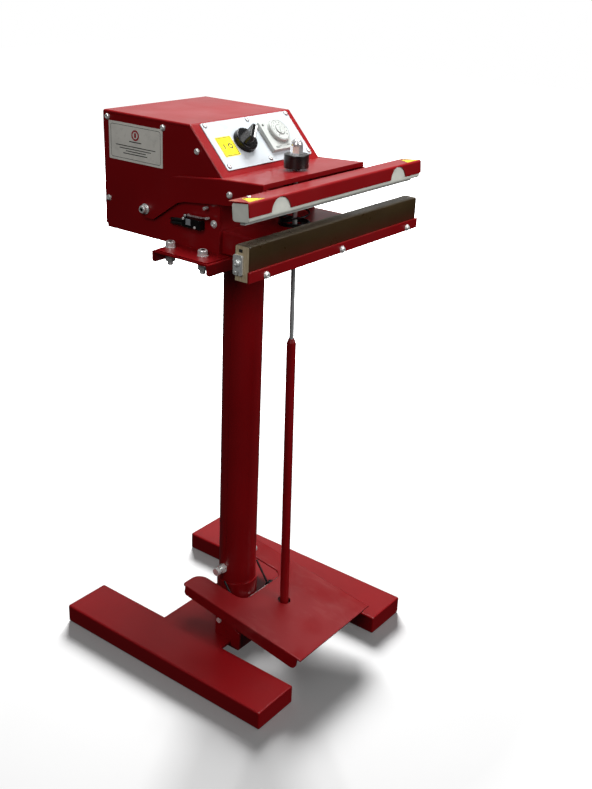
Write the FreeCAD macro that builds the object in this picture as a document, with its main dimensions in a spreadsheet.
import FreeCAD, Part
import math
import os
import Sketcher

# Foot-pedal impulse heat sealer on a floor stand.  Millimetres, +Z up.
# Origin: on the floor under the column's axis.  +X runs along the jaws, -Y is the operator's side.

doc = FreeCAD.newDocument("ImpulseHeatSealer")
sheet = doc.addObject("Spreadsheet::Sheet", "Sizes")

DRIVING_SIZES = {
    # floor frame: two long bars joined by a plate, flush on top
    "bar_inner": 132.5, "bar_outer": 230.0, "bar_half_length": 245.5, "base_height": 37.5,
    "bar_wall": 2.5, "bar_rounding": 4.0, "cap_thick": 3.0, "cap_rounding": 2.5,
    "cross_front": -75.0, "cross_back": 72.6, "cross_thick": 6.0, "cross_clearance": 0.2,
    "stiffener_half": 83.0, "stiffener_depth": 30.0,
    # column, its welded socket and the two clamp bolts
    "column_radius": 36.5, "column_wall": 3.25, "column_top": 797.0, "collar_radius": 40.0,
    "collar_top": 104.0, "socket_gap": 0.1, "stub_wall": 3.0, "stub_top": 200.0,
    "clamp_height": 134.0, "clamp_offset": 5.0, "clamp_shank": 5.0, "clamp_head": 7.5,
    "clamp_end": 60.0, "clamp_head_length": 8.0, "clamp_nut": 9.5, "clamp_nut_end": 46.0,
    # foot pedal: a folded tread plate, tilted, on a long pin
    "pedal_half": 112.0, "pedal_zero": 111.4, "pedal_tilt": 7.4, "pedal_thick": 3.0,
    "pedal_front": -247.2, "pedal_back": 46.0, "pedal_lobe": 25.0, "pedal_corner": 8.0,
    "notch_half": 61.5, "notch_front": -68.5, "notch_rounding": 22.0,
    "flange_front_deep": 28.5, "flange_back_deep": 21.0, "flange_front": -239.0,
    "flange_rounding": 12.0, "flange_heel": 6.0, "fold_rounding": 2.5, "rod_hole": 12.5,
    "rod_hole_y": -121.0,
    "pivot_y": -46.0, "pivot_z": 72.0, "pin_radius": 4.0, "running_gap": 0.06,
    "ear_inner": 102.5, "ear_thick": 4.0, "ear_radius": 10.0, "ear_front": -97.0,
    "ear_bottom": 27.0, "ear_shoulder": 62.0, "lug_inner": 98.5, "lug_thick": 3.7,
    "pin_head": 5.5, "pin_head_length": 2.7, "lug_reach": 27.0,
    "torsion_x": 50.0, "torsion_coil": 9.0, "torsion_wire": 2.2, "torsion_half": 6.0,
    "torsion_back_leg": 54.0, "torsion_front_leg": 30.0, "torsion_lean": 35.0,
    # head plate on the column
    "head_half": 182.0, "head_front": -75.0, "head_back": 46.0, "head_top": 800.0,
    "head_thick": 3.0, "head_flange_bottom": 780.0,
    "head_corner": 6.0, "foot_thick": 2.0, "foot_front": -71.0, "foot_outer": 180.0,
    "foot_back": 41.0, "bolt_x": 152.0, "bolt_back": 33.5, "bolt_front": -38.0,
    "bolt_radius": 5.0, "bolt_head": 8.0, "bolt_head_height": 9.0, "bolt_end": 772.0,
    "nut_radius": 8.5, "nut_height": 7.5, "nut_drop": 11.0, "nut_spacer": 6.6, "hole_gap": 0.3,
    # housing
    "side_outer": 129.0, "side_thick": 3.0, "side_front": -53.0, "side_back": 205.0,
    "side_top": 995.0, "side_slope_y": 14.15, "side_slope_z": 924.3, "side_corner": 4.0,
    "cover_top": 1000.0, "cover_thick": 2.0, "cover_back": 210.0, "slope_top_y": 12.0,
    "slope_length": 101.6, "slope_angle": 46.48, "cover_bend": 4.0, "rim_depth": 4.6,
    "rim_rounding": 3.0, "bend_share": 0.43, "cover_rear_bottom": 806.0, "tab_depth": 20.0,
    "tab_short": 25.0, "tab_gap": 0.2, "screw_radius": 5.0, "screw_height": 3.6, "screw_shank": 2.0,
    "rear_screw_y": 198.0, "rear_screw_z": 989.0, "middle_screw_y": 70.0, "middle_screw_z": 987.0,
    "slope_screw_y": -4.0, "slope_screw_z": 960.0, "low_screw_y": 199.5, "low_screw_z": 852.0,
    "stop_screw_y": -41.0, "stop_screw_z": 850.0, "stop_screw_radius": 6.5,
    # control panel, placed on the slope: across, down the slope, height over it
    "panel_left": -108.5, "panel_right": 114.0, "panel_start": 2.5, "panel_end": 91.7,
    "panel_thick": 1.5, "panel_corner": 3.0, "panel_screw_left": -100.5, "panel_screw_middle": 4.5,
    "panel_screw_right": 109.5, "panel_screw_upper": 7.5, "panel_screw_lower": 84.8,
    "panel_screw_radius": 3.7, "panel_screw_height": 2.2,
    "knob_x": -35.0, "knob_down": 47.0, "knob_radius": 20.8, "knob_base": 2.0,
    "knob_rim": 12.5, "knob_top": 31.0, "grip_half": 5.5, "grip_margin": 3.2, "grip_rounding": 1.5,
    "knob_turn": 48.0, "shaft_radius": 3.0, "selector_half": 14.5, "selector_deep": 27.0,
    "timer_x": 44.0, "timer_down": 48.0, "timer_half": 28.5, "timer_face": 9.5,
    "timer_rounding": 3.0, "timer_box_half": 22.0, "timer_box_deep": 45.0,
    "dial_x": 50.0, "dial_down": 44.0, "dial_radius": 21.0, "dial_base": 10.0, "dial_top": 16.0,
    # inside the housing
    "core_half": 50.0, "core_front": 95.0, "core_back": 160.0, "core_bottom": 804.0,
    "core_height": 92.0, "limb_half": 16.0, "yoke": 16.0, "coil_gap": 1.0, "coil_reach": 14.0,
    "block_half": 40.0, "block_front": 10.0, "block_depth": 22.0, "block_height": 20.0,
    "gland_x": 70.0, "gland_z": 830.0, "gland_radius": 9.0, "gland_length": 22.0,
    "gland_neck": 6.3, "gland_tip": 5.0, "gland_bore": 4.0, "gland_hole": 7.2, "gland_inside": 8.0,
    # arm: a folded channel hinged outside the housing
    "hinge_y": 105.0, "hinge_z": 850.0, "arm_outer": 136.0, "arm_thick": 3.0, "arm_bend": 2.8,
    "arm_front": -146.0, "arm_front_z": 931.5, "arm_step": -60.0, "arm_step_z": 927.0,
    "arm_lip": 7.5, "arm_nose_z": 903.0, "arm_chin_y": -120.0, "arm_chin_z": 893.0,
    "arm_belly_y": -67.0, "arm_belly_z": 886.0, "arm_waist_y": 17.0, "arm_waist_z": 877.0,
    "arm_heel_y": 34.0, "arm_heel_z": 872.0, "arm_hip_y": 88.0, "arm_hip_z": 886.0,
    "arm_shoulder_y": 55.0, "arm_shoulder_z": 910.0, "arm_neck_y": 31.0, "arm_neck_z": 917.0,
    "arm_eye": 15.0, "hinge_bolt": 4.0, "bush_radius": 7.0, "arm_gap": 0.6,
    "hinge_head": 6.5, "hinge_head_height": 8.0, "hinge_washer": 1.6, "hinge_washer_radius": 9.0,
    "hinge_inner_end": 114.0, "hinge_nut_height": 6.5,
    "arm_screw_y": -79.0, "arm_screw_z": 904.5, "arm_screw_radius": 5.5, "arm_screw_height": 4.0,
    # upper jaw, modelled level with its strip's sole at zero, then tilted open
    "jaw_half": 236.0, "jaw_y": -183.0, "jaw_z": 893.0, "open_tilt": 5.6, "strip_half": 5.0,
    "strip_height": 5.0, "strip_half_length": 228.0, "upper_front": -18.5, "upper_back": 13.5,
    "upper_top": 33.0, "upper_end_gap": 1.5, "hood_thick": 2.0, "hood_bottom": 13.0,
    "hood_back": 19.0, "hood_bend": 3.5, "arch_x": 162.0, "arch_radius": 24.0, "arch_level": 9.0,
    "fit_gap": 0.1, "tab_y": -160.0, "tab_thick": 3.0, "tab_outer": 177.0, "tab_bottom": 901.0,
    "tab_top": 923.5, "tab_arm_back": -68.0, "spacer_radius": 6.5, "spacer_level": 18.0,
    # lower jaw and its platform
    "platform_half": 122.0, "platform_top": 840.0, "platform_bottom": 803.0,
    "platform_front": -172.4, "platform_back": -53.3, "platform_wall": 3.0,
    "platform_rounding": 3.0, "platform_hole": 13.0, "lower_front": -199.4, "lower_back": -174.0,
    "lower_bottom": 809.7, "lower_top": 863.4, "lower_half": 232.5, "lower_rounding": 2.5,
    "ribbon_half": 2.5, "ribbon_thick": 0.3, "cloth_thick": 0.6, "cloth_top": 864.5,
    "cloth_front": -200.1, "cloth_back": -173.1, "cloth_back_bottom": 846.0,
    "clamp_strip_top": 827.0, "clamp_strip_front": -203.2, "strip_screw_z": 815.5,
    "strip_screw_radius": 6.0, "strip_socket": 3.3, "strip_socket_depth": 2.2, "strip_screw_height": 4.5,
    "strip_screw_left": -195.0,
    "strip_screw_middle": 2.0, "strip_screw_right": 202.0,
    "terminal_thick": 4.0, "terminal_front": -190.0, "terminal_back": -172.5,
    "terminal_bottom": 819.0, "terminal_top": 850.0, "terminal_screw": 5.0, "terminal_head": 4.5,
    "terminal_screw_z": 838.0,
    # pull rod, modelled upright with its seat at zero, then leaned
    "rod_y": -104.3, "rod_seat_z": 931.0, "rod_lean": 1.078, "rod_radius": 4.0,
    "rod_top": 43.0, "rod_bottom": -864.0, "tube_radius": 8.4, "tube_top": -303.0,
    "tube_bottom": -847.0, "tube_taper": 9.0, "tube_taper_radius": 5.4,
    "cap_radius": 20.5, "cap_bottom": 2.4, "cap_top": 24.5, "cap_edge": 2.0, "lock_nut": 10.4,
    "lock_nut_top": 37.5, "dome_radius": 10.0, "dome_base": 39.0, "foot_washer": 14.0,
    "foot_washer_height": 2.5, "foot_nut_height": 9.0, "seat_hole": 6.5,
    # return spring between platform and arm
    "spring_y": -105.2, "spring_radius": 24.5, "spring_wire": 1.7, "spring_pitch": 15.0,
    "seat_plate_radius": 27.5, "seat_plate_height": 2.0, "spring_top": 923.0,
    # trip switch on the left side plate
    "switch_front": -23.0, "switch_back": 17.0, "switch_bottom": 838.0, "switch_top": 854.0,
    "switch_inner": 131.0, "switch_outer": 143.0, "lever_y": 9.0, "lever_z": 857.5,
    "lever_tip": -36.0, "lever_rise": 3.0, "lever_run": 6.0, "lever_bend": 1.2, "lever_droop": 1.5,
    "lever_thick": 0.8, "lever_pin": 1.6, "post_half": 3.0,
    "lever_inner": 134.0, "lever_outer": 141.0, "striker_y": -30.0, "striker_z": 875.3,
    "striker_radius": 2.5,
}
for row, (alias, number) in enumerate(DRIVING_SIZES.items(), start=1):
    sheet.set(f"A{row}", alias)
    sheet.set(f"B{row}", str(number))
    sheet.setAlias(f"B{row}", alias)
doc.recompute()


class Size:
    """A number and the spreadsheet formula that makes it, so that sums stay bound to the sheet."""

    def __init__(self, value, formula):
        self.value = value
        self.formula = formula

    def __add__(self, other):
        return joined(self, "+", other)

    def __sub__(self, other):
        return joined(self, "-", other)

    def __mul__(self, other):
        return joined(self, "*", other)

    def __truediv__(self, other):
        return joined(self, "/", other)

    def __neg__(self):
        return joined(size(0), "-", self)

    __radd__ = __add__
    __rmul__ = __mul__

    def __rsub__(self, other):
        return joined(size(other), "-", self)


def size(number):
    """A plain number as a Size; a Size as it is."""
    return number if isinstance(number, Size) else Size(float(number), f"({float(number)})")


def joined(first, sign, second):
    a, b = size(first), size(second)
    results = {"+": a.value + b.value, "-": a.value - b.value, "*": a.value * b.value}
    value = results[sign] if sign in results else a.value / b.value
    return Size(value, f"({a.formula} {sign} {b.formula})")


def sine(angle):
    return Size(math.sin(math.radians(angle.value)), f"sin({angle.formula} * 1 deg)")


def cosine(angle):
    return Size(math.cos(math.radians(angle.value)), f"cos({angle.formula} * 1 deg)")


class Sheet:
    """Reads one driving size by its alias."""

    def __getattr__(self, alias):
        return Size(float(sheet.get(alias)), f"Sizes.{alias}")


D = Sheet()
SIDES = (-1, 1)
finished = []


def keep(thing, label):
    """Names a finished sub-part; its label is its file's name."""
    thing.Label = label
    finished.append(thing)
    return thing


def place(thing, base=(0, 0, 0), turn=0.0, about="X"):
    """Moves a part, bound to the sheet; turn is in degrees about one axis, by the right-hand rule."""
    turn = size(turn)
    sign = -1.0 if turn.value < 0 else 1.0
    axis = FreeCAD.Vector(*[sign * (about == letter) for letter in "XYZ"])
    angle = turn * sign
    base = [size(each) for each in base]
    at = FreeCAD.Vector(*[each.value for each in base])
    thing.Placement = FreeCAD.Placement(at, FreeCAD.Rotation(axis, angle.value))
    for letter, each in zip("xyz", base):
        thing.setExpression(f"Placement.Base.{letter}", each.formula)
    if angle.value:
        thing.setExpression("Placement.Rotation.Angle", angle.formula)
    return thing


def bind(thing, **properties):
    for name, value in properties.items():
        thing.setExpression(name, size(value).formula)
    return thing


def both(side, inner, outer):
    """The low and high X of something that reaches from inner to outer on one side."""
    return (inner, outer) if side > 0 else (-outer, -inner)


def box(x_range, y_range, z_range):
    (x0, x1), (y0, y1), (z0, z1) = x_range, y_range, z_range
    thing = doc.addObject("Part::Box", "Block")
    bind(thing, Length=size(x1) - x0, Width=size(y1) - y0, Height=size(z1) - z0)
    return place(thing, (x0, y0, z0))


def along(thing, axis, reach, centre):
    """Lays a part that was made along Z on an axis; centre is its place on the other two."""
    low, high = reach
    bind(thing, Height=size(high) - low)
    a, b = centre
    if axis == "X":
        return place(thing, (low, a, b), 90.0, "Y")
    if axis == "Y":
        return place(thing, (a, low, b), -90.0, "X")
    return place(thing, (a, b, low))


def cylinder(radius, axis, reach, centre):
    thing = bind(doc.addObject("Part::Cylinder", "Round"), Radius=radius)
    return along(thing, axis, reach, centre)


def cone(radius_low, radius_high, axis, reach, centre):
    thing = bind(doc.addObject("Part::Cone", "Taper"), Radius1=radius_low, Radius2=radius_high)
    return along(thing, axis, reach, centre)


def hexagon(corner_radius, axis, reach, centre):
    thing = doc.addObject("Part::Prism", "Hex")
    thing.Polygon = 6
    return along(bind(thing, Circumradius=corner_radius), axis, reach, centre)


def fused(*things):
    whole = doc.addObject("Part::MultiFuse", "Fused")
    whole.Shapes = list(things)
    return whole


def cut(base, *tools):
    whole = doc.addObject("Part::Cut", "Trimmed")
    whole.Base = base
    whole.Tool = tools[0] if len(tools) == 1 else fused(*tools)
    return whole


def group(things):
    """Separate solids that share a node."""
    whole = doc.addObject("Part::Compound", "Group")
    whole.Links = list(things)
    return whole


def tube(outer, inner, axis, reach, centre):
    return cut(cylinder(outer, axis, reach, centre), cylinder(inner, axis, reach, centre))


def tie(sketch, geometry, point, u, v):
    """Fixes one sketch point at u, v from the sketch's origin, bound to the sheet."""
    for kind, value, axis in (("DistanceX", size(u), -2), ("DistanceY", size(v), -1)):
        if abs(value.value) < 1e-9:
            sketch.addConstraint(Sketcher.Constraint("PointOnObject", geometry, point, axis))
            continue
        made = Sketcher.Constraint(kind, -1, 1, geometry, point, value.value)
        index = sketch.addConstraint(made)
        sketch.setExpression(f"Constraints[{index}]", value.formula)


def outline(sketch, points):
    """A closed polygon through the points."""
    vectors = [FreeCAD.Vector(size(u).value, size(v).value, 0) for u, v in points]
    first = sketch.GeometryCount
    count = len(points)
    for i in range(count):
        sketch.addGeometry(Part.LineSegment(vectors[i], vectors[(i + 1) % count]), False)
    for i in range(count):
        following = first + (i + 1) % count
        sketch.addConstraint(Sketcher.Constraint("Coincident", first + i, 2, following, 1))
        tie(sketch, first + i, 1, *points[i])


def ring(sketch, u, v, radius):
    """A circle about u, v."""
    centre = FreeCAD.Vector(size(u).value, size(v).value, 0)
    index = sketch.addGeometry(Part.Circle(centre, FreeCAD.Vector(0, 0, 1), size(radius).value), False)
    tie(sketch, index, 3, u, v)
    fixed = sketch.addConstraint(Sketcher.Constraint("Radius", index, size(radius).value))
    sketch.setExpression(f"Constraints[{fixed}]", size(radius).formula)


def pad(body, plane, reach, points=(), circles=(), windows=(), feature="PartDesign::Pad"):
    """Sketches on one of the body's planes and pads (or pockets) it across reach on the third axis."""
    low, high = size(reach[0]), size(reach[1])
    sketch = body.newObject("Sketcher::SketchObject", "Profile")
    role = f"{plane}_Plane"
    sketch.AttachmentSupport = [(o, "") for o in body.Origin.OriginFeatures if o.Role == role]
    sketch.MapMode = "FlatFace"
    offset = -high if plane == "XZ" else low
    sketch.setExpression("AttachmentOffset.Base.z", offset.formula)
    if points:
        outline(sketch, points)
    for window in windows:
        outline(sketch, window)
    for circle in circles:
        ring(sketch, *circle)
    made = body.newObject(feature, "Step")
    made.Profile = sketch
    made.setExpression("Length", (high - low).formula)
    if feature == "PartDesign::Pocket":
        made.Reversed = True
    doc.recompute()
    return made


def plate(plane, reach, points=(), circles=(), windows=()):
    """A body of one padded outline."""
    body = doc.addObject("PartDesign::Body", "Body")
    pad(body, plane, reach, points, circles, windows)
    return body


def pocket(body, plane, reach, points=(), circles=()):
    """Takes an outline out of the body and makes sure that it took something."""
    before = body.Shape.Volume
    pad(body, plane, reach, points, circles, feature="PartDesign::Pocket")
    if not body.Shape.Volume < before - 1e-6:
        raise RuntimeError(f"a pocket in {body.Label} took nothing away")


def edges_in(shape, ranges, slack=0.01):
    """Names of the edges inside a box; ranges maps x, y or z to (low, high) or one number."""
    names = []
    for number, edge in enumerate(shape.Edges, start=1):
        bounds = edge.BoundBox
        inside = True
        for letter, wanted in ranges.items():
            low, high = wanted if isinstance(wanted, tuple) else (wanted, wanted)
            near = getattr(bounds, f"{letter.upper()}Min")
            far = getattr(bounds, f"{letter.upper()}Max")
            inside = inside and near > size(low).value - slack and far < size(high).value + slack
        if inside:
            names.append(f"Edge{number}")
    return names


def soften(body, radius, *places):
    """Rounds the body's edges that lie in any of the places."""
    tip = body.Tip
    names = sorted({name for ranges in places for name in edges_in(tip.Shape, ranges)})
    if not names:
        raise RuntimeError(f"no edge to round on {body.Label}: {places}")
    rounding = body.newObject("PartDesign::Fillet", "Rounding")
    rounding.Base = (tip, names)
    rounding.setExpression("Radius", size(radius).formula)
    doc.recompute()


def rectangle(u_range, v_range):
    (u0, u1), (v0, v1) = u_range, v_range
    return [(u0, v0), (u1, v0), (u1, v1), (u0, v1)]


# ---------------------------------------------------------------- floor frame

def base_bar(side):
    low, high = both(side, D.bar_inner, D.bar_outer)
    half = D.bar_half_length - D.cap_thick
    hollow = rectangle((low + D.bar_wall, high - D.bar_wall), (D.bar_wall, D.base_height - D.bar_wall))
    bar = plate("XZ", (-half, half), rectangle((low, high), (0, D.base_height)), windows=[hollow])
    corners = [{"x": x, "z": z} for x in (low, high) for z in (0, D.base_height)]
    soften(bar, D.bar_rounding, *corners)
    return bar


def base_end_cap(side, end):
    low, high = both(side, D.bar_inner, D.bar_outer)
    near, far = both(end, D.bar_half_length - D.cap_thick, D.bar_half_length)
    cap = plate("XZ", (near, far), rectangle((low, high), (0, D.base_height)))
    corners = [{"x": x, "z": z} for x in (low, high) for z in (0, D.base_height)]
    soften(cap, D.bar_rounding, *corners)
    soften(cap, D.cap_rounding, {"y": D.bar_half_length * end})
    return cap


keep(base_bar(-1), "base_bar_left")
keep(base_bar(1), "base_bar_right")
keep(group(base_end_cap(side, end) for side in SIDES for end in SIDES), "base_end_caps")

cross_half = D.bar_inner - D.cross_clearance
cross_outline = rectangle((-cross_half, cross_half), (D.cross_front, D.cross_back))
keep(plate("XY", (D.base_height - D.cross_thick, D.base_height), cross_outline), "base_crossbar")


def stiffener(front):
    outer = rectangle((front, front + D.stiffener_depth), (0, D.base_height - D.cross_thick))
    inner = rectangle(
        (front + D.bar_wall, front + D.stiffener_depth - D.bar_wall),
        (D.bar_wall, D.base_height - D.cross_thick - D.bar_wall),
    )
    return plate("YZ", (-D.stiffener_half, D.stiffener_half), outer, windows=[inner])


keep(group([stiffener(D.cross_front), stiffener(D.cross_back - D.stiffener_depth)]), "cross_stiffeners")

# ---------------------------------------------------------------- column

column_bore = D.column_radius - D.column_wall
stub_radius = column_bore - D.socket_gap
keep(tube(D.collar_radius, D.column_radius + D.socket_gap, "Z", (D.base_height, D.collar_top), (0, 0)),
     "column_collar")
column_pipe = tube(D.column_radius, column_bore, "Z", (D.base_height, D.column_top), (0, 0))
clamp_centre = (D.clamp_offset, D.clamp_height)
clamp_holes = cylinder(D.clamp_shank + D.hole_gap, "X", (-D.clamp_end, D.clamp_end), clamp_centre)
keep(cut(column_pipe, clamp_holes), "column")
keep(tube(stub_radius, stub_radius - D.stub_wall, "Z", (D.base_height, D.stub_top), (0, 0)), "column_stub")


def clamp_nut(side):
    reach = both(side, D.column_radius - 1.0, D.clamp_nut_end)
    nut = cut(hexagon(D.clamp_nut, "X", reach, clamp_centre),
              cylinder(D.clamp_shank + D.running_gap, "X", reach, clamp_centre))
    saddle = cylinder(D.column_radius + D.running_gap, "Z", (D.collar_top, D.stub_top), (0, 0))
    return cut(nut, saddle)


def clamp_bolt(side):
    head_start = D.clamp_end - D.clamp_head_length
    shank = cylinder(D.clamp_shank, "X", both(side, stub_radius + D.hole_gap, head_start), clamp_centre)
    head = cylinder(D.clamp_head, "X", both(side, head_start, D.clamp_end), clamp_centre)
    return fused(shank, head)


keep(group(clamp_nut(side) for side in SIDES), "clamp_nuts")
keep(group(clamp_bolt(side) for side in SIDES), "clamp_bolts")

# ---------------------------------------------------------------- pedal

pin_centre = (D.pivot_y, D.pivot_z)
drop_to_pivot = D.pivot_z - D.pedal_zero
pivot_local_y = D.pivot_y * cosine(D.pedal_tilt) + drop_to_pivot * sine(D.pedal_tilt)
pivot_local_z = drop_to_pivot * cosine(D.pedal_tilt) - D.pivot_y * sine(D.pedal_tilt)


def pedal_ear(side):
    reach = both(side, D.ear_inner, D.ear_inner + D.ear_thick)
    back = D.pivot_y + D.ear_radius
    top = D.pivot_z + D.ear_radius
    step = D.cross_front - D.cross_clearance
    points = [(back, D.base_height), (back, top), (D.pivot_y - D.ear_radius, top),
              (D.ear_front, D.ear_shoulder), (D.ear_front, D.ear_bottom), (step, D.ear_bottom),
              (step, D.base_height)]
    ear = plate("YZ", reach, points, circles=[(D.pivot_y, D.pivot_z, D.pin_radius + D.running_gap)])
    soften(ear, D.ear_radius - 1.0, {"y": back, "z": top})
    return ear


keep(group(pedal_ear(side) for side in SIDES), "pedal_ears")

pin_end = D.ear_inner + D.ear_thick + D.cross_clearance
pin_heads = [cylinder(D.pin_head, "X", both(side, pin_end, pin_end + D.pin_head_length), pin_centre)
             for side in SIDES]
keep(fused(cylinder(D.pin_radius, "X", (-pin_end, pin_end), pin_centre), *pin_heads), "pedal_pivot_pin")


def tread():
    """Tread plate with its notch round the column, the rod's hole and two side flanges."""
    half = D.pedal_half
    points = [(-half, D.pedal_front), (half, D.pedal_front), (half, D.pedal_back),
              (D.notch_half, D.pedal_back), (D.notch_half, D.notch_front),
              (-D.notch_half, D.notch_front), (-D.notch_half, D.pedal_back), (-half, D.pedal_back)]
    body = plate("XY", (-D.pedal_thick, 0), points, circles=[(0, D.rod_hole_y, D.rod_hole)])
    soften(body, D.pedal_lobe - 1.0, *[{"x": D.notch_half * side, "y": D.pedal_back} for side in SIDES])
    soften(body, D.pedal_corner, *[{"x": half * side, "y": D.pedal_back} for side in SIDES])
    soften(body, D.notch_rounding, *[{"x": D.notch_half * side, "y": D.notch_front} for side in SIDES])
    flange_end = D.pedal_back - D.pedal_corner
    for side in SIDES:
        flange = [(D.flange_front, -D.pedal_thick), (D.flange_front, -D.flange_front_deep),
                  (flange_end, -D.flange_back_deep), (flange_end, -D.pedal_thick)]
        pad(body, "YZ", both(side, half - D.pedal_thick, half), flange)
        soften(body, D.flange_rounding, {"x": both(side, half - D.pedal_thick, half),
                                         "y": D.flange_front, "z": -D.flange_front_deep})
        soften(body, D.flange_heel, {"x": both(side, half - D.pedal_thick, half),
                                     "y": flange_end, "z": -D.flange_back_deep})
    fold = (D.pedal_front, D.pedal_back)
    soften(body, D.fold_rounding, *[{"x": half * side, "z": 0, "y": fold} for side in SIDES])
    return body


def pedal_lug(side):
    """Welded under the tread, it carries the bore that turns on the pin."""
    top = -D.pedal_thick
    foot = pivot_local_z - D.ear_radius
    points = [(pivot_local_y - D.lug_reach, top), (pivot_local_y - D.ear_radius, pivot_local_z),
              (pivot_local_y - D.ear_radius, foot), (pivot_local_y + D.ear_radius, foot),
              (pivot_local_y + D.ear_radius, pivot_local_z), (pivot_local_y + D.lug_reach, top)]
    bore = (pivot_local_y, pivot_local_z, D.pin_radius + D.running_gap)
    reach = both(side, D.lug_inner, D.lug_inner + D.lug_thick)
    lug = plate("YZ", reach, points, circles=[bore])
    corners = [{"y": pivot_local_y + D.ear_radius * way, "z": foot} for way in SIDES]
    soften(lug, D.ear_radius - 1.0, *corners)
    return lug


pedal_base = (0, 0, D.pedal_zero)
keep(place(tread(), pedal_base, D.pedal_tilt), "pedal_plate")
keep(place(group(pedal_lug(side) for side in SIDES), pedal_base, D.pedal_tilt), "pedal_lugs")


def torsion_spring(side):
    """Coil round the pin, with one leg up beside the column and one forward under the tread."""
    reach = both(side, D.torsion_x - D.torsion_half, D.torsion_x + D.torsion_half)
    coil = tube(D.torsion_coil, D.pin_radius + 0.8, "X", reach, pin_centre)
    shift = D.torsion_coil - D.torsion_wire
    back_leg = bind(doc.addObject("Part::Cylinder", "Leg"), Radius=D.torsion_wire, Height=D.torsion_back_leg)
    place(back_leg, (D.torsion_x * side, D.pivot_y + shift, D.pivot_z), -D.torsion_lean)
    front_leg = bind(doc.addObject("Part::Cylinder", "Leg"), Radius=D.torsion_wire,
                     Height=D.torsion_front_leg)
    place(front_leg, (D.torsion_x * side, D.pivot_y, D.pivot_z + shift), 90.0)
    return fused(coil, back_leg, front_leg)


keep(group(torsion_spring(side) for side in SIDES), "pedal_springs")

# ---------------------------------------------------------------- head plate

bolt_places = [(D.bolt_x * side, y) for side in SIDES for y in (D.bolt_front, D.bolt_back)]
bolt_hole = D.bolt_radius + D.hole_gap
head_plate = plate("XY", (D.head_top - D.head_thick, D.head_top),
                   rectangle((-D.head_half, D.head_half), (D.head_front, D.head_back)),
                   circles=[(x, y, bolt_hole) for x, y in bolt_places])
soften(head_plate, D.head_thick - 1.0,
       {"y": D.head_front, "z": D.head_top}, {"y": D.head_back, "z": D.head_top})
keep(head_plate, "head_plate")


def head_flange(reach):
    top = D.head_top - D.head_thick
    points = [(-D.head_half, top), (-D.head_half, D.head_flange_bottom),
              (D.head_half, D.head_flange_bottom), (D.head_half, top)]
    flange = plate("XZ", reach, points)
    soften(flange, D.head_corner, *[{"x": D.head_half * side, "z": D.head_flange_bottom} for side in SIDES])
    return flange


keep(group([head_flange((D.head_front, D.head_front + D.head_thick)),
            head_flange((D.head_back - D.head_thick, D.head_back))]), "head_flanges")

foot_top = D.head_top + D.foot_thick


def bracket_bolt(x, y):
    head_top = foot_top + D.bolt_head_height
    head = cut(cylinder(D.bolt_head, "Z", (foot_top, head_top), (x, y)),
               hexagon(D.bolt_radius, "Z", (head_top - D.bolt_radius, head_top), (x, y)))
    return fused(head, cylinder(D.bolt_radius, "Z", (D.bolt_end, foot_top), (x, y)))


def bracket_nut(x, y):
    """Nut under the head plate, with the spacer between them."""
    top = D.head_top - D.head_thick
    seat = top - D.nut_drop
    whole = fused(hexagon(D.nut_radius, "Z", (seat - D.nut_height, seat), (x, y)),
                  cylinder(D.nut_spacer, "Z", (seat, top), (x, y)))
    return cut(whole, cylinder(D.bolt_radius + D.running_gap, "Z", (seat - D.nut_height, top), (x, y)))


keep(group(bracket_bolt(x, y) for x, y in bolt_places), "bracket_bolts")
keep(group(bracket_nut(x, y) for x, y in bolt_places), "bracket_nuts")

# ---------------------------------------------------------------- housing

side_inner = D.side_outer - D.side_thick
side_screws = [(D.rear_screw_y, D.rear_screw_z), (D.middle_screw_y, D.middle_screw_z),
               (D.slope_screw_y, D.slope_screw_z), (D.low_screw_y, D.low_screw_z)]
stop_screw = (D.stop_screw_y, D.stop_screw_z)


def side_plate(side):
    points = [(D.side_front, D.head_top), (D.side_back, D.head_top), (D.side_back, D.side_top),
              (D.side_slope_y, D.side_top), (D.side_front, D.side_slope_z)]
    circles = [(y, z, D.screw_shank + D.hole_gap) for y, z in side_screws + [stop_screw]]
    circles.append((D.hinge_y, D.hinge_z, D.hinge_bolt + D.running_gap))
    wall = plate("YZ", both(side, side_inner, D.side_outer), points, circles=circles)
    soften(wall, D.side_corner, {"y": D.side_back, "z": D.side_top},
           {"y": D.side_slope_y, "z": D.side_top}, {"y": D.side_front, "z": D.side_slope_z})
    low, high = both(side, side_inner, D.foot_outer)
    foot = rectangle((low, high), (D.foot_front, D.foot_back))
    holes = [(x, y, bolt_hole) for x, y in bolt_places if x.value * side > 0]
    pad(wall, "XY", (D.head_top, foot_top), foot, circles=holes)
    soften(wall, D.side_corner, {"x": D.foot_outer * side, "y": D.foot_front},
           {"x": D.foot_outer * side, "y": D.foot_back})
    return wall


keep(side_plate(-1), "side_plate_left")
keep(side_plate(1), "side_plate_right")

inner_half = side_inner - D.tab_gap
keep(plate("XY", (D.head_top, D.head_top + D.cover_thick),
           rectangle((-inner_half, inner_half), (D.side_front, D.cover_back - D.cover_thick - D.tab_gap))),
     "housing_floor")
keep(plate("XZ", (D.side_front, D.side_front + D.cover_thick),
           rectangle((-inner_half, inner_half),
                     (D.head_top + D.cover_thick, D.side_slope_z - D.cover_thick))), "housing_front")

slope_foot_y = D.slope_top_y - D.slope_length * cosine(D.slope_angle)
slope_foot_z = D.cover_top - D.slope_length * sine(D.slope_angle)


def slope_point(down, height):
    """A point in Y and Z on the slope: distance down it, and height over it."""
    y = D.slope_top_y - down * cosine(D.slope_angle) - height * sine(D.slope_angle)
    z = D.cover_top - down * sine(D.slope_angle) + height * cosine(D.slope_angle)
    return y, z


panel_base = (0, D.slope_top_y, D.cover_top)


def on_slope(thing):
    """Lays a part that was made level onto the slope; its own -Y becomes down the slope."""
    return place(thing, panel_base, D.slope_angle)


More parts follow.
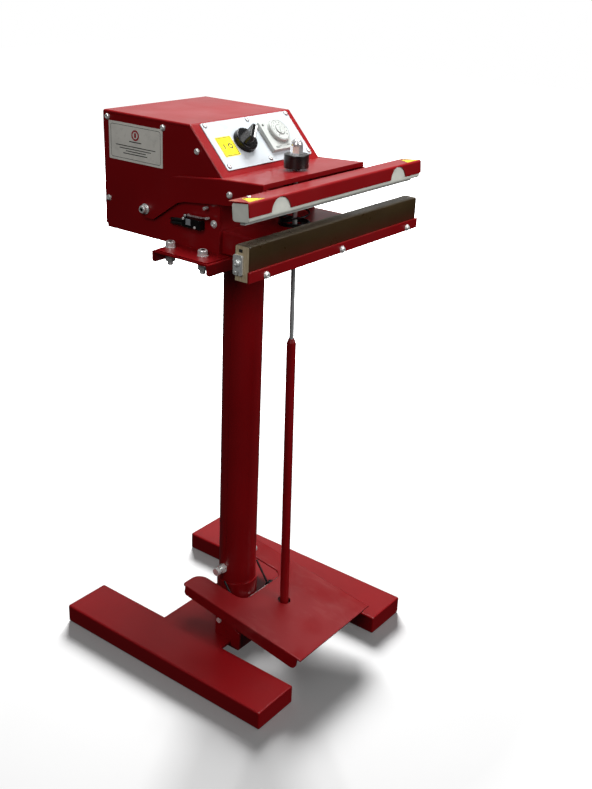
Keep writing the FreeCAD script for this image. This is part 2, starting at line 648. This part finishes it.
def cover():
    """One folded sheet: back, top and front slope, with rims over the side plates and tabs inside them."""

    def folded(depth, end):
        """The sheet's underside or a line below it, from the back's foot to the slope's."""
        return [(D.cover_back - depth, D.cover_rear_bottom), (D.cover_back - depth, D.cover_top - depth),
                (D.slope_top_y + depth * D.bend_share, D.cover_top - depth), slope_point(end, -depth)]

    outside = [(D.cover_back, D.cover_rear_bottom), (D.cover_back, D.cover_top),
               (D.slope_top_y, D.cover_top), (slope_foot_y, slope_foot_z)]
    underside = folded(D.cover_thick, D.slope_length)
    body = plate("YZ", (-D.side_outer, D.side_outer), outside + underside[::-1])
    pocket(body, "XZ", (D.cover_back - 5.0, D.cover_back + 1.0),
           circles=[(D.gland_x, D.gland_z, D.gland_hole)])
    soften(body, D.cover_bend, {"y": D.slope_top_y, "z": D.cover_top})
    soften(body, D.cover_bend, {"y": D.cover_back, "z": D.cover_top})
    inside = folded(D.cover_thick, D.slope_length - D.cover_thick)
    rim = inside + folded(D.rim_depth, D.slope_length - D.cover_thick)[::-1]
    tab = inside[1:] + folded(D.tab_depth, D.slope_length - D.tab_short)[:0:-1]
    for side in SIDES:
        pad(body, "YZ", both(side, inner_half - D.cover_thick, D.side_outer), rim)
        pad(body, "YZ", both(side, inner_half - D.cover_thick, inner_half), tab)
        soften(body, D.rim_rounding, {"x": D.side_outer * side, "y": (D.slope_top_y, D.cover_back),
                                      "z": D.cover_top})
    return cut(body, on_slope(group([cylinder(D.shaft_radius + D.hole_gap, "Z",
                                              (-D.cover_thick - 1.0, 1.0), (D.knob_x, -D.knob_down))])))


keep(cover(), "cover")


def housing_screw(side, y, z, radius):
    outer = both(side, D.side_outer, D.side_outer + D.screw_height)
    head = cylinder(radius, "X", outer, (y, z))
    shank = cylinder(D.screw_shank, "X", both(side, side_inner - D.tab_gap, D.side_outer), (y, z))
    return fused(head, shank)


keep(group([housing_screw(side, y, z, D.screw_radius) for side in SIDES for y, z in side_screws]
           + [housing_screw(side, *stop_screw, D.stop_screw_radius) for side in SIDES]), "housing_screws")

# ---------------------------------------------------------------- control panel on the slope

panel_screw_places = [(x, -down) for x in (D.panel_screw_left, D.panel_screw_middle, D.panel_screw_right)
                      for down in (D.panel_screw_upper, D.panel_screw_lower)]
panel = plate("XY", (0, D.panel_thick),
              rectangle((D.panel_left, D.panel_right), (-D.panel_end, -D.panel_start)),
              circles=[(D.knob_x, -D.knob_down, D.shaft_radius + 1.0)])
soften(panel, D.panel_corner, *[{"x": x, "y": y} for x in (D.panel_left, D.panel_right)
                                for y in (-D.panel_start, -D.panel_end)])
keep(on_slope(panel), "front_panel")
keep(on_slope(group(
    cylinder(D.panel_screw_radius, "Z", (D.panel_thick, D.panel_thick + D.panel_screw_height), place_xy)
    for place_xy in panel_screw_places)), "panel_screws")

knob_centre = (D.knob_x, -D.knob_down)
switch_box = box((D.knob_x - D.selector_half, D.knob_x + D.selector_half),
                 (-D.knob_down - D.selector_half, -D.knob_down + D.selector_half),
                 (-D.selector_deep, -D.cover_thick - D.tab_gap))
keep(on_slope(group([switch_box])), "selector_switch")


def knob():
    """Pointer knob: a disc with a grip bar across it."""
    disc = plate("XY", (D.knob_base, D.knob_rim), circles=[(0, 0, D.knob_radius)])
    soften(disc, D.screw_shank, {"z": D.knob_rim})
    grip_end = D.knob_radius - D.grip_margin
    grip = rectangle((-D.grip_half, D.grip_half), (-grip_end, grip_end))
    pad(disc, "XY", (D.knob_rim - 3.0, D.knob_top), grip)
    upright = (D.knob_rim, D.knob_top)
    ends = [{"x": D.grip_half * side, "y": grip_end * way, "z": upright} for side in SIDES for way in SIDES]
    soften(disc, D.grip_half - 1.0, *ends)
    soften(disc, D.grip_rounding, {"z": D.knob_top})
    return place(disc, (D.knob_x, -D.knob_down, 0), -D.knob_turn, "Z")


knob_shaft = cylinder(D.shaft_radius, "Z", (-D.cover_thick, D.knob_base), knob_centre)
keep(on_slope(group([knob(), knob_shaft])), "selector_knob")

timer_centre = (D.timer_x, -D.timer_down)
timer_face = plate("XY", (D.panel_thick, D.timer_face),
                   rectangle((D.timer_x - D.timer_half, D.timer_x + D.timer_half),
                             (-D.timer_down - D.timer_half, -D.timer_down + D.timer_half)))
soften(timer_face, D.timer_rounding, *[{"x": D.timer_x + D.timer_half * side,
                                        "y": -D.timer_down + D.timer_half * way}
                                       for side in SIDES for way in SIDES])
soften(timer_face, 1.2, {"z": D.timer_face})
timer_box = box((D.timer_x - D.timer_box_half, D.timer_x + D.timer_box_half),
                (-D.timer_down - D.timer_box_half, -D.timer_down + D.timer_box_half),
                (-D.timer_box_deep, -D.cover_thick - D.tab_gap))
keep(on_slope(group([timer_face, timer_box])), "timer_body")

dial = plate("XY", (D.dial_base, D.dial_top), circles=[(D.dial_x, -D.dial_down, D.dial_radius)])
soften(dial, 1.5, {"z": D.dial_top})
keep(on_slope(group([dial])), "timer_dial")

# ---------------------------------------------------------------- inside the housing

core_top = D.core_bottom + D.core_height
window_z = (D.core_bottom + D.yoke, core_top - D.yoke)
core_windows = [rectangle(both(side, D.limb_half, D.core_half - D.yoke), window_z) for side in SIDES]
keep(plate("XZ", (D.core_front, D.core_back), rectangle((-D.core_half, D.core_half),
                                                        (D.core_bottom, core_top)),
           windows=core_windows), "transformer_core")

coil_inner_x = D.limb_half + D.coil_gap
coil_outer_x = D.core_half - D.yoke - D.coil_gap
coil_outer_y = (D.core_front - D.coil_reach, D.core_back + D.coil_reach)
coil_inner_y = (D.core_front - D.coil_gap, D.core_back + D.coil_gap)
keep(plate("XY", (window_z[0] + D.coil_gap, window_z[1] - D.coil_gap),
           rectangle((-coil_outer_x, coil_outer_x), coil_outer_y),
           windows=[rectangle((-coil_inner_x, coil_inner_x), coil_inner_y)]), "transformer_coil")
keep(box((-D.block_half, D.block_half), (D.block_front, D.block_front + D.block_depth),
         (D.core_bottom, D.core_bottom + D.block_height)), "terminal_block")
gland_centre = (D.gland_x, D.gland_z)
gland_face = D.cover_back + 0.1
gland_flange = cylinder(D.gland_radius, "Y", (gland_face, gland_face + D.bar_wall), gland_centre)
gland_nose = cone(D.gland_neck, D.gland_tip, "Y",
                  (gland_face, gland_face + D.gland_length), gland_centre)
gland_neck = cylinder(D.gland_neck, "Y", (gland_face - D.gland_inside, gland_face), gland_centre)
gland_bore = cylinder(D.gland_bore, "Y", (gland_face - D.gland_inside - 1.0,
                                          gland_face + D.gland_length + 1.0), gland_centre)
keep(cut(fused(gland_flange, gland_nose, gland_neck), gland_bore), "cable_gland")

# ---------------------------------------------------------------- arm and its hinge

hinge_centre = (D.hinge_y, D.hinge_z)
arm_inner = D.arm_outer - D.arm_thick
bush_end = D.arm_outer + D.arm_gap
head_start = bush_end + D.hinge_washer


def hinge_bush(side):
    reach = both(side, D.side_outer + D.fit_gap, bush_end)
    return cut(cylinder(D.bush_radius, "X", reach, hinge_centre),
               cylinder(D.hinge_bolt + D.running_gap, "X", reach, hinge_centre))


def hinge_bolt(side):
    """Bolt with its washer outside the arm and its nut inside the housing."""
    reach = both(side, D.hinge_inner_end, head_start)
    shank = cylinder(D.hinge_bolt, "X", reach, hinge_centre)
    washer = cylinder(D.hinge_washer_radius, "X", both(side, bush_end + D.fit_gap, head_start), hinge_centre)
    head = cylinder(D.hinge_head, "X", both(side, head_start, head_start + D.hinge_head_height),
                    hinge_centre)
    nut_reach = both(side, side_inner - D.hinge_nut_height - D.fit_gap, side_inner - D.fit_gap)
    return fused(shank, washer, head, hexagon(D.nut_radius, "X", nut_reach, hinge_centre))


keep(group(hinge_bush(side) for side in SIDES), "pivot_bushes")
keep(group(hinge_bolt(side) for side in SIDES), "pivot_bolts")


def arm_channel():
    """Two side plates and the top plate that joins them in front of the housing."""
    slope = (D.arm_front_z - D.arm_step_z) / (D.arm_step - D.arm_front)
    rod_z = D.arm_step_z + (D.arm_step - D.rod_y) * slope
    top = [(D.arm_step, D.arm_step_z), (D.arm_front, D.arm_front_z),
           (D.arm_front, D.arm_front_z - D.arm_lip),
           (D.arm_front + D.arm_thick, D.arm_front_z - D.arm_lip),
           (D.arm_front + D.arm_thick, D.arm_front_z - D.arm_thick),
           (D.arm_step, D.arm_step_z - D.arm_thick)]
    body = plate("YZ", (-D.arm_outer, D.arm_outer), top)
    eye_top = D.hinge_z + D.arm_eye
    eye_bottom = D.hinge_z - D.arm_eye
    eye_back = D.hinge_y + D.arm_eye
    side_points = [(D.arm_step, D.arm_step_z), (D.arm_front, D.arm_front_z), (D.arm_front, D.arm_nose_z),
                   (D.arm_chin_y, D.arm_chin_z), (D.arm_belly_y, D.arm_belly_z),
                   (D.arm_waist_y, D.arm_waist_z), (D.arm_heel_y, D.arm_heel_z),
                   (D.arm_hip_y, eye_bottom), (eye_back, eye_bottom), (eye_back, eye_top),
                   (D.arm_hip_y, D.arm_hip_z), (D.arm_shoulder_y, D.arm_shoulder_z),
                   (D.arm_neck_y, D.arm_neck_z)]
    for side in SIDES:
        pad(body, "YZ", both(side, arm_inner, D.arm_outer), side_points,
            circles=[(D.hinge_y, D.hinge_z, D.bush_radius + D.running_gap),
                     (D.arm_screw_y, D.arm_screw_z, D.screw_shank + 1.0 + D.hole_gap)])
        across = both(side, arm_inner, D.arm_outer)
        soften(body, D.arm_eye - 1.0, {"x": across, "y": eye_back, "z": eye_bottom},
               {"x": across, "y": eye_back, "z": eye_top})
        soften(body, D.arm_eye, {"x": across, "y": D.arm_shoulder_y, "z": D.arm_shoulder_z},
               {"x": across, "y": D.arm_hip_y, "z": D.arm_hip_z},
               {"x": across, "y": D.arm_heel_y, "z": D.arm_heel_z})
    top_edges = [{"x": D.arm_outer * side, "y": (D.arm_front, D.arm_step),
                  "z": (D.arm_step_z, D.arm_front_z)} for side in SIDES]
    soften(body, D.arm_bend, *top_edges)
    pocket(body, "XY", (rod_z - 10.0, rod_z + 10.0), circles=[(0, D.rod_y, D.seat_hole)])
    return body


keep(arm_channel(), "arm_channel")


def arm_screw(side):
    outer = both(side, D.arm_outer, D.arm_outer + D.arm_screw_height)
    shank = both(side, tab_wall_inner, D.arm_outer)
    centre = (D.arm_screw_y, D.arm_screw_z)
    return fused(cylinder(D.arm_screw_radius, "X", outer, centre),
                 cylinder(D.screw_shank + 1.0, "X", shank, centre))


tab_wall_outer = arm_inner - D.fit_gap
tab_wall_inner = tab_wall_outer - D.tab_thick


def jaw_bracket(side):
    """Angle bracket: one leg inside the arm's side plate, the other outward behind the jaw."""
    x = [each * side for each in (tab_wall_inner, tab_wall_outer, D.tab_outer)]
    points = [(x[0], D.tab_arm_back), (x[1], D.tab_arm_back), (x[1], D.tab_y + D.tab_thick),
              (x[2], D.tab_y + D.tab_thick), (x[2], D.tab_y), (x[0], D.tab_y)]
    bracket = plate("XY", (D.tab_bottom, D.tab_top), points)
    clear = cylinder(D.screw_shank + 1.0 + D.running_gap, "X", both(side, arm_inner - 10.0, arm_inner),
                     (D.arm_screw_y, D.arm_screw_z))
    return cut(bracket, clear)


keep(group(jaw_bracket(side) for side in SIDES), "jaw_brackets")
keep(group(arm_screw(side) for side in SIDES), "arm_side_screws")

# ---------------------------------------------------------------- upper jaw

jaw_base = (0, D.jaw_y, D.jaw_z)


def on_jaw(thing):
    """Tilts a part that was made level to the open jaw's angle."""
    return place(thing, jaw_base, -D.open_tilt)


upper_end = D.jaw_half - D.upper_end_gap
bar_section = rectangle((D.upper_front, D.upper_back), (D.strip_height, D.upper_top))
upper_bar = plate("YZ", (-upper_end, upper_end), bar_section)
soften(upper_bar, D.cover_thick, {"y": D.upper_front, "z": D.strip_height},
       {"y": D.upper_back, "z": D.strip_height}, {"y": D.upper_front, "z": D.upper_top})
keep(on_jaw(upper_bar), "upper_bar")
keep(on_jaw(plate("YZ", (-D.strip_half_length, D.strip_half_length),
                  rectangle((-D.strip_half, D.strip_half), (0, D.strip_height)))), "silicone_strip")


def hood():
    """Folded cover over the top and the front of the bar, with two arched openings."""
    under = D.upper_top + D.fit_gap
    over = under + D.hood_thick
    inner = D.upper_front - D.fit_gap
    outer = inner - D.hood_thick
    section = [(D.hood_back, over), (outer, over), (outer, D.hood_bottom), (inner, D.hood_bottom),
               (inner, under), (D.hood_back, under)]
    body = plate("YZ", (-D.jaw_half, D.jaw_half), section)
    for side in SIDES:
        pocket(body, "XZ", (outer - 1.0, inner + 1.0),
               circles=[(D.arch_x * side, D.arch_level, D.arch_radius)])
    soften(body, D.hood_bend, {"y": outer, "z": over})
    soften(body, D.fit_gap + 1.0, *[{"x": D.jaw_half * side, "y": D.hood_back} for side in SIDES])
    return body


keep(on_jaw(hood()), "upper_jaw_cover")

spacer_end = D.tab_y - D.jaw_y
keep(on_jaw(group(
    cylinder(D.spacer_radius, "Y", (D.upper_back, spacer_end - 2.6), (D.arch_x * side, D.spacer_level))
    for side in SIDES)), "jaw_spacers")

# ---------------------------------------------------------------- lower jaw and platform

platform = plate("XZ", (D.platform_front, D.platform_back),
                 [(-D.platform_half, D.platform_bottom), (-D.platform_half, D.platform_top),
                  (D.platform_half, D.platform_top), (D.platform_half, D.platform_bottom),
                  (D.platform_half - D.platform_wall, D.platform_bottom),
                  (D.platform_half - D.platform_wall, D.platform_top - D.platform_wall),
                  (-D.platform_half + D.platform_wall, D.platform_top - D.platform_wall),
                  (-D.platform_half + D.platform_wall, D.platform_bottom)])
pocket(platform, "XY", (D.platform_top - 10.0, D.platform_top + 1.0),
       circles=[(0, D.rod_y, D.platform_hole)])
soften(platform, D.platform_rounding - 0.5,
       *[{"x": D.platform_half * side, "z": D.platform_top} for side in SIDES])
keep(platform, "platform")

strip_screw_x = (D.strip_screw_left, D.strip_screw_middle, D.strip_screw_right)
lower_bar = plate("YZ", (-D.lower_half, D.lower_half),
                  rectangle((D.lower_front, D.lower_back), (D.lower_bottom, D.lower_top)))
soften(lower_bar, D.lower_rounding, {"y": D.lower_front, "z": D.lower_top},
       {"y": D.lower_back, "z": D.lower_top})
screw_depth = D.lower_front + 12.0
pilot_holes = [cylinder(D.screw_shank + D.running_gap, "Y", (D.lower_front - 1.0, screw_depth + 0.5),
                        (x, D.strip_screw_z)) for x in strip_screw_x]
keep(cut(lower_bar, *pilot_holes), "lower_jaw_bar")

ribbon_bottom = D.lower_top + D.fit_gap * 0.5
keep(box((-D.strip_half_length, D.strip_half_length), (D.jaw_y - D.ribbon_half, D.jaw_y + D.ribbon_half),
         (ribbon_bottom, ribbon_bottom + D.ribbon_thick)), "heating_element")
cloth_inner = D.cloth_top - D.cloth_thick
cloth = plate("YZ", (-D.lower_half, D.lower_half),
              [(D.cloth_front, D.lower_bottom), (D.cloth_front, D.cloth_top), (D.cloth_back, D.cloth_top),
               (D.cloth_back, D.cloth_back_bottom), (D.cloth_back - D.cloth_thick, D.cloth_back_bottom),
               (D.cloth_back - D.cloth_thick, cloth_inner), (D.cloth_front + D.cloth_thick, cloth_inner),
               (D.cloth_front + D.cloth_thick, D.lower_bottom)])
soften(cloth, D.cloth_thick * 2.0, {"y": D.cloth_front, "z": D.cloth_top},
       {"y": D.cloth_back, "z": D.cloth_top})
cloth_holes = [cylinder(D.screw_shank + D.hole_gap, "Y", (D.cloth_front - 1.0, D.lower_front),
                        (x, D.strip_screw_z)) for x in strip_screw_x]
keep(cut(cloth, *cloth_holes), "ptfe_cover")

strip_back = D.cloth_front - D.fit_gap
front_strip = plate("XZ", (D.clamp_strip_front, strip_back),
                    rectangle((-D.jaw_half, D.jaw_half), (D.lower_bottom, D.clamp_strip_top)),
                    circles=[(x, D.strip_screw_z, D.screw_shank + D.running_gap) for x in strip_screw_x])
soften(front_strip, 1.0, {"y": D.clamp_strip_front, "z": D.clamp_strip_top},
       {"y": D.clamp_strip_front, "z": D.lower_bottom})
keep(front_strip, "front_strip")


def strip_screw(x):
    front = D.clamp_strip_front - D.strip_screw_height
    head = cut(cylinder(D.strip_screw_radius, "Y", (front, D.clamp_strip_front), (x, D.strip_screw_z)),
               hexagon(D.strip_socket, "Y", (front - 1.0, front + D.strip_socket_depth),
                       (x, D.strip_screw_z)))
    shank = cylinder(D.screw_shank, "Y", (D.clamp_strip_front, screw_depth), (x, D.strip_screw_z))
    return fused(head, shank)


keep(group(strip_screw(x) for x in strip_screw_x), "strip_screws")

terminal_centre = ((D.terminal_front + D.terminal_back) / 2.0, D.terminal_screw_z)


def end_terminal(side):
    """Copper-alloy block that grips the ribbon's end, with its screw."""
    reach = both(side, D.lower_half + D.fit_gap, D.lower_half + D.terminal_thick)
    block = box(reach, (D.terminal_front, D.terminal_back), (D.terminal_bottom, D.terminal_top))
    face = D.lower_half + D.terminal_thick
    head = cylinder(D.terminal_screw, "X", both(side, face, face + D.terminal_head), terminal_centre)
    return fused(block, head)


keep(group(end_terminal(side) for side in SIDES), "end_terminals")

# ---------------------------------------------------------------- pull rod and return spring

rod_base = (0, D.rod_y, D.rod_seat_z)


def on_rod(thing):
    """Leans a part that was made upright to the rod's angle."""
    return place(thing, rod_base, -D.rod_lean)


keep(on_rod(group([cylinder(D.rod_radius, "Z", (D.rod_bottom, D.rod_top), (0, 0))])), "pull_rod")
tube_wall = tube(D.tube_radius, D.rod_radius + D.fit_gap, "Z", (D.tube_bottom, D.tube_top), (0, 0))
nose_reach = (D.tube_top, D.tube_top + D.tube_taper)
tube_nose = cut(cone(D.tube_radius, D.tube_taper_radius, "Z", nose_reach, (0, 0)),
                cylinder(D.rod_radius + D.fit_gap, "Z", nose_reach, (0, 0)))
keep(on_rod(fused(tube_wall, tube_nose)), "rod_tube")

rod_cap = plate("XY", (D.cap_bottom, D.cap_top),
                circles=[(0, 0, D.cap_radius), (0, 0, D.rod_radius + D.fit_gap)])
soften(rod_cap, D.cap_edge, {"z": D.cap_top, "x": (-D.cap_radius, D.cap_radius + 1.0)})
keep(on_rod(rod_cap), "rod_cap")


def bored(thing, reach):
    return cut(thing, cylinder(D.rod_radius + D.fit_gap, "Z", reach, (0, 0)))


def dome():
    """Polished cap nut: a short round base under a half ball."""
    base = cylinder(D.dome_radius, "Z", (D.lock_nut_top, D.dome_base), (0, 0))
    ball = bind(doc.addObject("Part::Sphere", "Ball"), Radius=D.dome_radius)
    ball.Angle1 = 0.0
    place(ball, (0, 0, D.dome_base))
    return bored(fused(base, ball), (D.lock_nut_top, D.rod_top + 0.5))


lock_nut = bored(hexagon(D.lock_nut, "Z", (D.cap_top, D.lock_nut_top), (0, 0)), (D.cap_top, D.lock_nut_top))
washer_bottom = D.tube_bottom - D.foot_washer_height
foot_washer = bored(cylinder(D.foot_washer, "Z", (washer_bottom, D.tube_bottom), (0, 0)),
                    (washer_bottom, D.tube_bottom))
foot_nut_bottom = washer_bottom - D.foot_nut_height
foot_nut = bored(hexagon(D.lock_nut, "Z", (foot_nut_bottom, washer_bottom), (0, 0)),
                 (foot_nut_bottom, washer_bottom))
keep(on_rod(group([dome(), lock_nut, foot_washer, foot_nut])), "rod_nuts")

keep(tube(D.seat_plate_radius, D.platform_hole, "Z",
          (D.platform_top, D.platform_top + D.seat_plate_height), (0, D.spring_y)), "spring_seat")


def return_spring():
    """Open compression coil between the seat and the arm."""
    low = D.platform_top + D.seat_plate_height + D.spring_wire
    path = doc.addObject("Part::Helix", "Coil")
    bind(path, Radius=D.spring_radius, Pitch=D.spring_pitch, Height=D.spring_top - D.spring_wire - low)
    wire = bind(doc.addObject("Part::Circle", "Wire"), Radius=D.spring_wire)
    wire.Placement = FreeCAD.Placement(FreeCAD.Vector(D.spring_radius.value, 0, 0),
                                       FreeCAD.Rotation(FreeCAD.Vector(1, 0, 0), 90))
    wire.setExpression("Placement.Base.x", D.spring_radius.formula)
    doc.recompute()
    coil = doc.addObject("Part::Sweep", "Spring")
    coil.Sections = [wire]
    coil.Spine = (path, [f"Edge{i + 1}" for i in range(len(path.Shape.Edges))])
    coil.Solid = True
    coil.Frenet = True
    return place(coil, (0, D.spring_y, low))


keep(group([return_spring()]), "return_spring")

# ---------------------------------------------------------------- trip switch

switch_body = box((-D.switch_outer, -D.switch_inner), (D.switch_front, D.switch_back),
                  (D.switch_bottom, D.switch_top))
switch_mount = box((-D.switch_inner, -D.side_outer - D.fit_gap), (D.switch_front + 4.0, D.switch_back - 4.0),
                   (D.switch_bottom + 2.0, D.switch_top - 2.0))
pin_hole = cylinder(D.lever_pin + D.running_gap, "X", (-D.switch_outer, -D.lever_outer),
                    (D.lever_y, D.lever_z))
post_foot = box((-D.switch_outer, -D.lever_outer - D.fit_gap),
                (D.lever_y - D.post_half, D.lever_y + D.post_half),
                (D.switch_top, D.lever_z + D.post_half))
keep(cut(fused(switch_body, switch_mount, post_foot), pin_hole), "microswitch_body")

lever_points = [(D.lever_y, D.lever_z - D.lever_thick), (D.lever_y, D.lever_z),
                (D.striker_y + D.lever_run, D.lever_z + D.lever_bend),
                (D.striker_y, D.lever_z + D.lever_rise), (D.lever_tip, D.lever_z + D.lever_droop),
                (D.lever_tip, D.lever_z + D.lever_droop - D.lever_thick),
                (D.striker_y, D.lever_z + D.lever_rise - D.lever_thick),
                (D.striker_y + D.lever_run, D.lever_z + D.lever_bend - D.lever_thick)]
lever_barrel = cylinder(D.lever_pin, "X", (-D.switch_outer, -D.lever_inner), (D.lever_y, D.lever_z))
keep(fused(plate("YZ", (-D.lever_outer, -D.lever_inner), lever_points), lever_barrel), "switch_lever")
keep(cylinder(D.striker_radius, "X", (-D.lever_outer, -arm_inner), (D.striker_y, D.striker_z)),
     "switch_striker")

# ---------------------------------------------------------------- check and write

doc.recompute()
for thing in doc.Objects:
    broken = [state for state in thing.State if state in ("Invalid", "Error")]
    if broken:
        raise RuntimeError(f"{thing.Label} ({thing.Name}) failed: {thing.State}")
os.makedirs("parts", exist_ok=True)
for part in finished:
    if part.Shape.isNull() or not part.Shape.isValid():
        raise RuntimeError(f"{part.Label} has no valid shape")
for part in finished:
    part.Shape.exportStep(f"parts/{part.Label}.step")
    bounds = part.Shape.BoundBox
    print(f"{part.Label:20s} solids {len(part.Shape.Solids):2d}"
          f"  X {bounds.XMin:8.1f} {bounds.XMax:8.1f}  Y {bounds.YMin:8.1f} {bounds.YMax:8.1f}"
          f"  Z {bounds.ZMin:7.1f} {bounds.ZMax:7.1f}")
print(len(finished), "sub-parts written")
